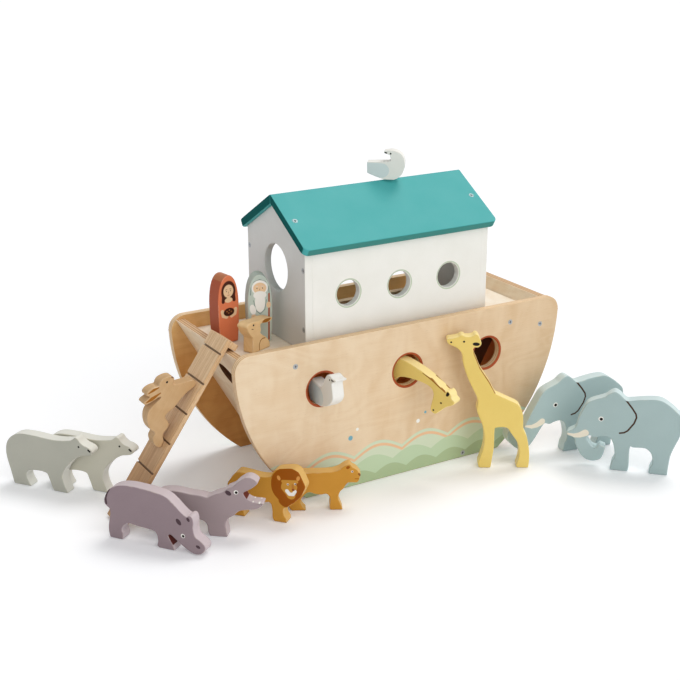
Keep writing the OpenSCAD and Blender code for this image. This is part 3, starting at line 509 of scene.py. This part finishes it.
# A brushed line between two points of a drawing plane, in millimetres, wider at one end if need be
painted_line, take, give = effect("painted_line", {"Vector": "Vector", "From": "Vector", "To": "Vector",
                                                   "Start": "Float", "End": "Float"}, {"Mask": "Float"})
run = put(painted_line, "VectorMath", take["To"], take["From"], operation="SUBTRACT")[0]
offset = put(painted_line, "VectorMath", take["Vector"], take["From"], operation="SUBTRACT")[0]
offset = stretched(painted_line, offset, 1, 1, 0)
share = put(painted_line, "Clamp", calc(
    painted_line, "DIVIDE", put(painted_line, "VectorMath", offset, run, operation="DOT_PRODUCT")[1],
    put(painted_line, "VectorMath", run, run, operation="DOT_PRODUCT")[1]))[0]
nearest = put(painted_line, "VectorMath", run, share, operation="MULTIPLY")[0]
away = put(painted_line, "VectorMath", offset, nearest, operation="DISTANCE")[1]
half_width = put(painted_line, "MapRange", share, 0, 1, take["Start"], take["End"])[0]
outside = calc(painted_line, "SUBTRACT", away, half_width)
painted_line.links.new(ease(painted_line, outside, 0.12, -0.12), give["Mask"])


def spot(u, v, half_u, half_v, turn, paint):
    """An oval dab: its place on the figure, half its size and its turn in degrees."""
    return (u, v, 0), (half_u, half_v, 1), math.radians(turn), paint, 0.3


def dot(u, v, half, paint):
    return spot(u, v, half, half, 0, paint)


def line(half_width, paint, *points, end=None, rim=0.3):
    """A stroke through points; rim is how far it goes over the edge of the face.
    A negative rim keeps it off the face, on the sawn edge alone."""
    return points, half_width, half_width if end is None else end, paint, rim


def ringed_eye(u, v, size):
    return dot(u - 0.15 * size, v + 0.15 * size, size * 1.55, WHITE), dot(u, v, size, BLACK)


def paint_figure(node, place, turn, faces, paint, tint, marks=(), edge=None, grain=None,
                 radius=0.0013, back=1):
    """Rolls the paint on a figure and draws its marks on the faces of its board.
    place is the figure's own zero point and turn its heading; faces are how far the two
    faces lie from the heading line, towards the viewer. With back 0 the back is plain."""
    finish, tree, shader = new_finish(node + "_paint", coat=0.02, shine=0.12)
    surface = put(tree, "TexCoord")["Object"]
    plane = put(tree, "Mapping", surface, tuple(v / 1000 for v in place), tuple(math.radians(v) for v in turn),
                (0.001, 0.001, 0.001), vector_type="TEXTURE")[0]
    off = put(tree, "SeparateXYZ", plane)[2]
    middle, half = (faces[0] + faces[1]) / 2, abs(faces[1] - faces[0]) / 2
    inset = calc(tree, "SUBTRACT", half, distance(tree, off, middle))
    drawn_on = put(tree, "MapRange", off, middle - 0.01, middle + 0.01, back, 1)[0]
    coat = use(tree, rolled_paint, Vector=surface, Paint=paint, Tint=tint)
    colour, height = coat["Color"], coat["Height"]
    if grain:
        figured = use(tree, birch_grain, Vector=stretched(tree, plane, 0.001, 0.001, 0.001), Pale=paint, Dark=grain)
        colour, height = figured["Color"], figured["Height"]
    # The rounded edges are painted a little paler in patches: partly wear from handling, partly painted highlight
    # where the rounds catch the light
    on_round = both(tree, ease(tree, inset, 0.1, 0.35), ease(tree, inset, 1.5, 0.9))
    rub_and_shine = ease(tree, noise(tree, in_mm(tree, surface), 0.12, 4, 0.6), 0.45, 0.7)
    colour = over(tree, both(tree, on_round, rub_and_shine, 0.35), colour, RUBBED_AND_LIT)
    # The sawn edges get the edge colour: a paler one for most figures, painted highlight where the edges catch the
    # light, and a darker one for the woman, painted shade on her sides
    if edge:
        colour = over(tree, ease(tree, inset, 0.2, 1.2), colour, edge)
    for where, size, last, dab, rim in marks:
        if isinstance(size, tuple):
            mask = use(tree, painted_spot, Vector=plane, Centre=where, Size=size, Turn=last)["Mask"]
        else:
            stretches = len(where) - 1
            mask = either(tree, *(
                use(tree, painted_line, Vector=plane, From=where[i] + (0,), To=where[i + 1] + (0,),
                    Start=size + (last - size) * i / stretches,
                    End=size + (last - size) * (i + 1) / stretches)["Mask"] for i in range(stretches)))
        seen_on = ease(tree, inset, abs(rim), abs(rim) - math.copysign(0.18, rim))
        if rim > 0:
            seen_on = both(tree, drawn_on, seen_on)
        colour = over(tree, both(tree, mask, seen_on), colour, dab)
    tree.links.new(colour, shader["Base Color"])
    tree.links.new(coat["Roughness"], shader["Roughness"])
    relief(tree, shader, height, 0.00005)
    soften(node, radius).data.materials.append(finish)


bear_marks = dot(81.8, 54.3, 1.1, BLACK), line(1.0, BLACK, (92.8, 52.5), (94.4, 51.3), rim=0.9)
paint_figure("polar_bear_left", (-360, 108.7, 0), (90, 0, -53), BEHIND_LINE,
             rgb(180, 180, 168), rgb(173, 173, 162), bear_marks, BEAR_LIT_EDGE)
paint_figure("polar_bear_right", (-325.75, 88.18, 0), (90, 0, -52), BEHIND_LINE,
             rgb(203, 201, 185), rgb(197, 195, 179), bear_marks, BEAR_LIT_EDGE)

# Hippos: sawn from the same board and rolled a dusty mauve; they stand loose on the floor.
# Ears, nostrils and tail are brushed in plum, the inside of the yawning mouth in maroon, the teeth in white. The
# notch under the grazing hippo's jaw is painted dark maroon: painted shade in the gap.
PLUM = rgb(78, 60, 66)
MAROON, NOTCH_SHADE_MAROON = rgb(112, 56, 48), rgb(96, 48, 44)
# The hippos' sawn edges are painted paler: painted highlight where they catch the light
HIPPO_LIT_EDGE = rgb(200, 187, 191)
paint_figure("hippo_grazing", (-318.36, -52.22, 0), (90, 0, -53.8), BEHIND_LINE,
             rgb(149, 132, 137), rgb(142, 125, 131), edge=HIPPO_LIT_EDGE, marks=(
    spot(75.3, 31.1, 3.6, 2.2, -52, PLUM), spot(85.4, 35.4, 2.2, 1.5, -60, PLUM),
    *ringed_eye(79.5, 17.4, 1.4), spot(94.7, 9.4, 2.4, 1.5, -20, PLUM),
    line(1.7, PLUM, (1.6, 50.5), (-0.6, 46.5), (-2.2, 41), (-1.6, 35), end=1.0, rim=2.5),
    # The notch between jaw and foreleg, painted dark maroon: painted shade in the gap
    line(2.0, NOTCH_SHADE_MAROON, (64.4, 15), (65.4, 10.5), (67.4, 6.5), end=1.2, rim=-0.5)))
paint_figure("hippo_yawning", (-236.63, -99, 0), (90, 0, -40), BEHIND_LINE,
             rgb(164, 148, 150), rgb(157, 141, 144), edge=HIPPO_LIT_EDGE, marks=(
    spot(19, 46.4, 3.2, 2.2, -35, PLUM), *ringed_eye(26.7, 47.5, 1.4),
    line(1.9, MAROON, (34.4, 47), (36.6, 43.2), rim=-0.7),
    line(0.9, WHITE, (42.2, 40.6), (42.4, 39.2), rim=3.5),
    line(0.9, WHITE, (48.2, 39.9), (48.4, 38.4), rim=3.5)))

# Lions: sawn from the same board and rolled ochre; they stand loose on the floor.
# The male has a painted brown mane round a paler face.
OCHRE, OCHRE_TINT = rgb(200, 144, 56), rgb(190, 134, 48)
MANE = rgb(152, 80, 2)
EAR = rgb(214, 150, 76)
# The lions' sawn edges are painted paler: painted highlight where they catch the light
LION_LIT_EDGE = rgb(222, 180, 108)
paint_figure("lion", (-196, -74.7, 0), (90, 0, -49.3), BEHIND_LINE, OCHRE, OCHRE_TINT,
             edge=LION_LIT_EDGE, marks=(
    line(17.6, MANE, (54, 41.2), (54, 38.8), rim=1.0), spot(52.6, 22.8, 9, 6, -10, MANE),
    line(8.4, OCHRE, (54.9, 38), (56.4, 31), end=4.6), line(1.6, OCHRE, (48.4, 44.2), (62.4, 45.6)),
    spot(44.3, 47.2, 1.7, 2.6, 20, EAR), spot(64, 49.4, 1.7, 2.6, -20, EAR),
    *ringed_eye(53.6, 41.6, 0.7), *ringed_eye(61, 43, 0.7),
    line(2.0, WHITE, (52.6, 34.6), (54.8, 31.8), (58.6, 31.9), (60.8, 35.4), end=1.6),
    line(0.9, rgb(186, 118, 48), (58.2, 42), (58.8, 38.2), end=1.4),
    spot(58.8, 36.7, 1.5, 1.0, 0, rgb(132, 60, 28))))
paint_figure("lioness", (-145, -94, 0), (90, 0, -28), BEHIND_LINE, OCHRE, OCHRE_TINT,
             edge=LION_LIT_EDGE, marks=(
    spot(54.6, 45.6, 2.0, 1.5, 30, MANE), *ringed_eye(58.8, 41, 0.7),
    line(0.9, rgb(134, 80, 34), (65.2, 38.4), (66.6, 36.8), rim=2.5),
    line(0.4, MANE, (61.6, 33.4), (65, 33.2))))

# Giraffes: sawn from the same board and rolled maize yellow, with a brown mane brushed along the neck.
# One stands loose by the hull; one stands on the hull floor and reaches out through the middle porthole.
MAIZE, MAIZE_TINT = rgb(234, 207, 120), rgb(227, 199, 110)
BROWN = rgb(158, 106, 40)
# The giraffes' sawn edges are painted paler: painted highlight where they catch the light
GIRAFFE_LIT_EDGE = rgb(249, 228, 160)
paint_figure("giraffe_standing", (71.4, -108.5, 0), (90, 0, -31), BEHIND_LINE,
             MAIZE, MAIZE_TINT, edge=GIRAFFE_LIT_EDGE, marks=(
    dot(-33.1, 140.6, 1.0, BLACK), dot(-20, 141.2, 1.1, BLACK), spot(-7.5, 138.5, 3.7, 1.9, -4, BLACK),
    line(0.9, BROWN, (-9.6, 132.4), (-9, 128), (-6.1, 121), (-2.3, 112), (7.4, 97), (14, 85), rim=2.5)))
paint_figure("giraffe_reaching", (-9.298, -53.06, 10.3), (90, 0, 115), ON_LINE,
             MAIZE, MAIZE_TINT, edge=GIRAFFE_LIT_EDGE, marks=(
    dot(-68, 78.8, 1.1, BLACK), dot(-59.4, 69.3, 1.0, BLACK), spot(-75.6, 90.0, 1.7, 3.0, 30, BLACK),
    line(0.3, BROWN, (-46, 106.4), (-56, 101.6), end=0.7, rim=2.5),
    line(0.7, BROWN, (-56, 101.6), (-66, 95), (-72.4, 91), end=0.4, rim=2.5)))

# Elephants: sawn from the same board and rolled grey-blue; they stand loose on the floor.
# Tusks are painted ivory, the eye has a white ring, and a brown line draws the ear.
ELEPHANT_BLUE, ELEPHANT_TINT = rgb(170, 191, 191), rgb(163, 184, 184)
# The elephants' sawn edges are painted paler: painted highlight where they catch the light
ELEPHANT_LIT_EDGE = rgb(206, 223, 224)
IVORY = rgb(234, 226, 208)
EAR_LINE = rgb(72, 50, 38)
elephant_marks = (
    *ringed_eye(-12, 56.3, 1.7),
    line(0.9, EAR_LINE, (11.8, 79.6), (18.5, 71.4), (22.6, 65.4), (23.4, 61.5), (21.3, 54.8), (15.5, 46.1),
         (12, 43.6), (7.6, 42.6)),
    line(3.7, IVORY, (-27.4, 39.2), (-33, 36.2), (-39, 35), end=2.2),
    line(2.2, IVORY, (-39, 35), (-47, 36.6), end=0.9))
# A dark line along the mouth: painted shade in the gap between trunk and jaw
mouth = line(0.6, EAR_LINE, (-24.4, 33.3), (-20.8, 26.8), (-17.2, 23))
paint_figure("elephant_left", (173.8, -122.3, 0), (90, 0, -12), BEHIND_LINE,
             ELEPHANT_BLUE, ELEPHANT_TINT, elephant_marks, ELEPHANT_LIT_EDGE)
paint_figure("elephant_right", (186, -182.8, 0), (90, 0, -45.4), BEHIND_LINE,
             ELEPHANT_BLUE, ELEPHANT_TINT, (*elephant_marks, mouth), ELEPHANT_LIT_EDGE)

# Rabbits: sawn from the same board and only oiled, so the grain shows, with amber inner ears.
# One climbs the ramp and one sits on the deck; both are loose.
AMBER = rgb(158, 100, 34)
NOSE = rgb(110, 62, 40)
# The climbing rabbit is painted a darker and the sitting rabbit a lighter tone of the same wood: painted light and
# shade for how each one is lit
paint_figure("rabbit_climbing", (-257.76, -31.7, 71.28), (90, -RAMP_SLOPE, 0), ON_LINE,
             rgb(206, 172, 130), rgb(198, 162, 118), grain=rgb(190, 152, 106), radius=0.0008, marks=(
    spot(60.6, 29.4, 1.2, 1.0, 0, BLACK), line(0.7, NOSE, (66.8, 27.2), (67.4, 26), rim=2.5),
    line(0.5, AMBER, (43.4, 40.4), (48, 37.8), end=1.4), line(1.4, AMBER, (48, 37.8), (52.4, 34.2), end=0.6),
    line(0.5, AMBER, (34.6, 37.8), (40, 34.6), end=1.8), line(1.8, AMBER, (40, 34.6), (48.6, 29.8), end=0.6)))
paint_figure("rabbit_sitting", (-152.24, -33.8, 147.3), (90, 0, 23.5), BEHIND_LINE,
             rgb(234, 200, 150), rgb(226, 190, 140), grain=rgb(220, 182, 130), radius=0.001, marks=(
    spot(0.1, 29.1, 1.2, 1.0, 0, BLACK), spot(20.2, 28.8, 6.6, 2.0, 2, AMBER),
    line(0.4, NOSE, (-2.6, 25.8), (-0.4, 25)),
    line(0.5, AMBER, (8.2, 1.5), (8.2, 7), (10.2, 10.4), (13.6, 11.9), (17.4, 11.4))))

# Doves: sawn from the same board and rolled white, with a blue-grey wing on either face.
# One perches on the ridge and one looks out of a porthole; both are loose.
DOVE_WHITE, DOVE_TINT = rgb(230, 229, 222), rgb(222, 221, 214)
# The doves' sawn edges are painted paler: painted highlight where they catch the light
DOVE_LIT_EDGE = rgb(238, 237, 232)
WING = rgb(206, 216, 215)
paint_figure("dove_on_roof", (22, 0, 295.38), (90, 0, -38), ON_LINE, DOVE_WHITE, DOVE_TINT,
             edge=DOVE_LIT_EDGE, radius=0.0006, marks=(
    line(8.2, WING, (-24, 9.6), (-4.5, 9.4), end=7.4), dot(4.4, 27.0, 0.9, BLACK),
    line(0.7, BLACK, (-1.2, 28.0), (0.2, 27.6))))
paint_figure("dove_in_porthole", (-100, -60, 99.134), (90, 0, -90), ON_LINE, DOVE_WHITE, DOVE_TINT,
             edge=DOVE_LIT_EDGE, radius=0.0007, marks=(
    line(11, WING, (6, 10), (19, 9.4), end=10), dot(41.5, 33.6, 0.9, BLACK),
    line(0.9, BLACK, (45.4, 34.6), (48.6, 34.4), end=0.5, rim=2.5)))

# People: round-topped blocks with a painted front; a woman in a terracotta hood and a man in grey-green.
# Hair, hands and dress are flat areas of paint; the faces are plain and calm. They stand loose on the deck.
BLOCK = (-8.5, 8.5)
SKIN = rgb(231, 196, 156)
HAIR = rgb(72, 36, 24)
FEATURE = rgb(122, 74, 52)
LIPS = rgb(170, 84, 66)
BREAD = rgb(150, 92, 52)
FOLD = rgb(130, 146, 138)


def calm_face(u, v, half_w, half_h, brow):
    """A plain oval face: eyes half way up, the nose and the mouth at thirds below."""
    eye_u, eye_v = 0.42 * half_w, v
    mouth_v = eye_v - 0.62 * half_h
    return (spot(u, v, half_w, half_h, 0, SKIN),
            spot(u - eye_u, eye_v, 0.5, 0.55, 0, BLACK), spot(u + eye_u, eye_v, 0.5, 0.55, 0, BLACK),
            line(0.22, brow, (u - eye_u - 1, eye_v + 1.8), (u - eye_u + 1, eye_v + 2)),
            line(0.22, brow, (u + eye_u - 1, eye_v + 2), (u + eye_u + 1, eye_v + 1.8)),
            line(0.2, FEATURE, (u, eye_v - 0.6), (u, eye_v - 0.36 * half_h)),
            line(0.26, LIPS, (u - 1, mouth_v), (u + 1, mouth_v)))


# The woman's sawn edges are painted a darker terracotta: painted shade on the sides of her block
paint_figure("woman_figure", (-159.74, 15.4, 147.3), (90, 0, 9), BLOCK,
             rgb(224, 128, 88), rgb(216, 121, 82), edge=rgb(170, 86, 58), back=0, marks=(
    # The worn top of the hood, the hair and the neck
    line(2.2, rgb(178, 112, 76), (-7, 67), (-3, 69.4), (5, 69), rim=-0.6), spot(0, 53.5, 8.6, 11, 0, HAIR),
    line(1.9, HAIR, (-6, 50), (-6.6, 44)), line(1.9, HAIR, (6, 50), (6.6, 44)),
    spot(0, 44.8, 4.6, 2.6, 0, SKIN), line(1.9, SKIN, (0, 49), (0, 45.5)), *calm_face(0, 54, 5.9, 6.6, HAIR),
    # The hands and the bowl that they hold
    line(2.0, SKIN, (-8, 34), (-7, 29.6), (-3, 28)), line(2.0, SKIN, (8, 34), (7, 29.6), (3, 28)),
    spot(0, 32.4, 6.4, 4.2, 0, rgb(58, 28, 16)),
    *(spot(u, v, 0.9, 0.8, 0, BREAD) for u, v in ((-2.4, 33.2), (0.6, 34.2), (2.8, 32.4), (-0.4, 31.4)))))
paint_figure("man_figure", (-128.34, 1, 147.3), (90, 0, -17), BLOCK,
             rgb(192, 203, 192), rgb(185, 197, 186), back=0, marks=(
    # The hood's rim, the hair and the beard
    line(0.5, FOLD, (-9.4, 50), (-8.8, 57), (-5.6, 63), (0, 65.4), (5.6, 63), (8.8, 57), (9.4, 50)),
    spot(0, 57, 8.2, 7.6, 0, WHITE), *calm_face(0, 56.4, 6.6, 5.8, rgb(222, 220, 214)),
    spot(0, 49.2, 6.6, 4.2, 0, WHITE), spot(0, 42, 5.2, 10.5, 0, WHITE),
    line(0.4, FOLD, (-6.4, 44), (-4.6, 34), (0, 29.6), (4.6, 34), (6.4, 44)),
    # The staff, the sleeve and the hands
    line(0.9, rgb(168, 92, 64), (9.2, 50), (8.2, 2.5)), spot(8.6, 38.6, 2.2, 3.2, 0, SKIN),
    spot(-7.4, 34.6, 3.0, 5.4, 12, WHITE), spot(-6.6, 27.6, 2.6, 2.0, 0, SKIN)))

# Studio: a wide sheet of white paper for a floor, in an even white room.
# A softbox stands over the stern and a wider one in front of the port side.
FLOOR_SIZE, FLOOR_UNDER = 14, -0.0003
FLOOR_LIFT = 0.1
ROOM_LIGHT = 0.38
CAMERA_PLACE = (-0.6861, -1.0924, 0.5789)
CAMERA_HEADING, CAMERA_DOWN, CAMERA_ROLL = -30.827, 19.455, -0.11


def seen_directly(tree):
    """1 for what the camera sees, also in gloss or through clear matter; 0 for scattered light."""
    rays = put(tree, "LightPath")
    return either(tree, rays["Is Camera Ray"], rays["Is Glossy Ray"], rays["Is Transmission Ray"])


bpy.ops.object.select_all(action="DESELECT")
bpy.ops.mesh.primitive_plane_add(size=FLOOR_SIZE, location=(0, 0, FLOOR_UNDER))
floor = bpy.context.object
floor.name = "studio_floor"
bpy.ops.object.transform_apply(location=True, rotation=False, scale=True)
paper, tree, shader = new_finish("studio_paper", shine=0.1)
fibre = ease(tree, noise(tree, put(tree, "TexCoord")["Object"], 900, 2), 0.3, 0.7)
tree.links.new(over(tree, fibre, rgb(251, 252, 255), rgb(249, 250, 253)), shader["Base Color"])
shader["Roughness"].default_value = 0.9
# The paper is lit through from below a little, so the camera sees it near white
shader["Emission Color"].default_value = (0.92, 0.97, 1, 1)
tree.links.new(calc(tree, "MULTIPLY", seen_directly(tree), FLOOR_LIFT), shader["Emission Strength"])
floor.data.materials.append(paper)

room = bpy.data.worlds.new("studio_room")
room.use_nodes = True
bpy.context.scene.world = room
tree = room.node_tree
air = tree.nodes["Background"].inputs
air["Color"].default_value = (1, 1, 1, 1)
tree.links.new(put(tree, "MapRange", seen_directly(tree), 0, 1, ROOM_LIGHT, 1)[0], air["Strength"])

# Each softbox: how much light, how wide it looks, and the way to it from the ark
for name, energy, width, way in (("softbox_above", 1.4, 34, (0.45, 0.2, 0.87)),
                                 ("softbox_front", 1.4, 70, (0.0, -0.86, 0.5))):
    softbox = bpy.data.lights.new(name, "SUN")
    softbox.energy = energy
    softbox.angle = math.radians(width)
    softbox.color = (1, 0.985, 0.96)
    lamp = bpy.data.objects.new(name, softbox)
    lamp.rotation_euler = Vector(way).to_track_quat("Z", "Y").to_euler()
    bpy.context.scene.collection.objects.link(lamp)

lens = bpy.data.cameras.new("camera")
lens.lens = 68.06
lens.sensor_width = 36
camera = bpy.data.objects.new("camera", lens)
camera.matrix_world = (Matrix.Translation(CAMERA_PLACE)
                       @ Matrix.Rotation(math.radians(CAMERA_HEADING), 4, "Z")
                       @ Matrix.Rotation(math.radians(90 - CAMERA_DOWN), 4, "X")
                       @ Matrix.Rotation(math.radians(CAMERA_ROLL), 4, "Z"))
bpy.context.scene.collection.objects.link(camera)
bpy.context.scene.camera = camera
bpy.context.scene.view_settings.view_transform = "Standard"
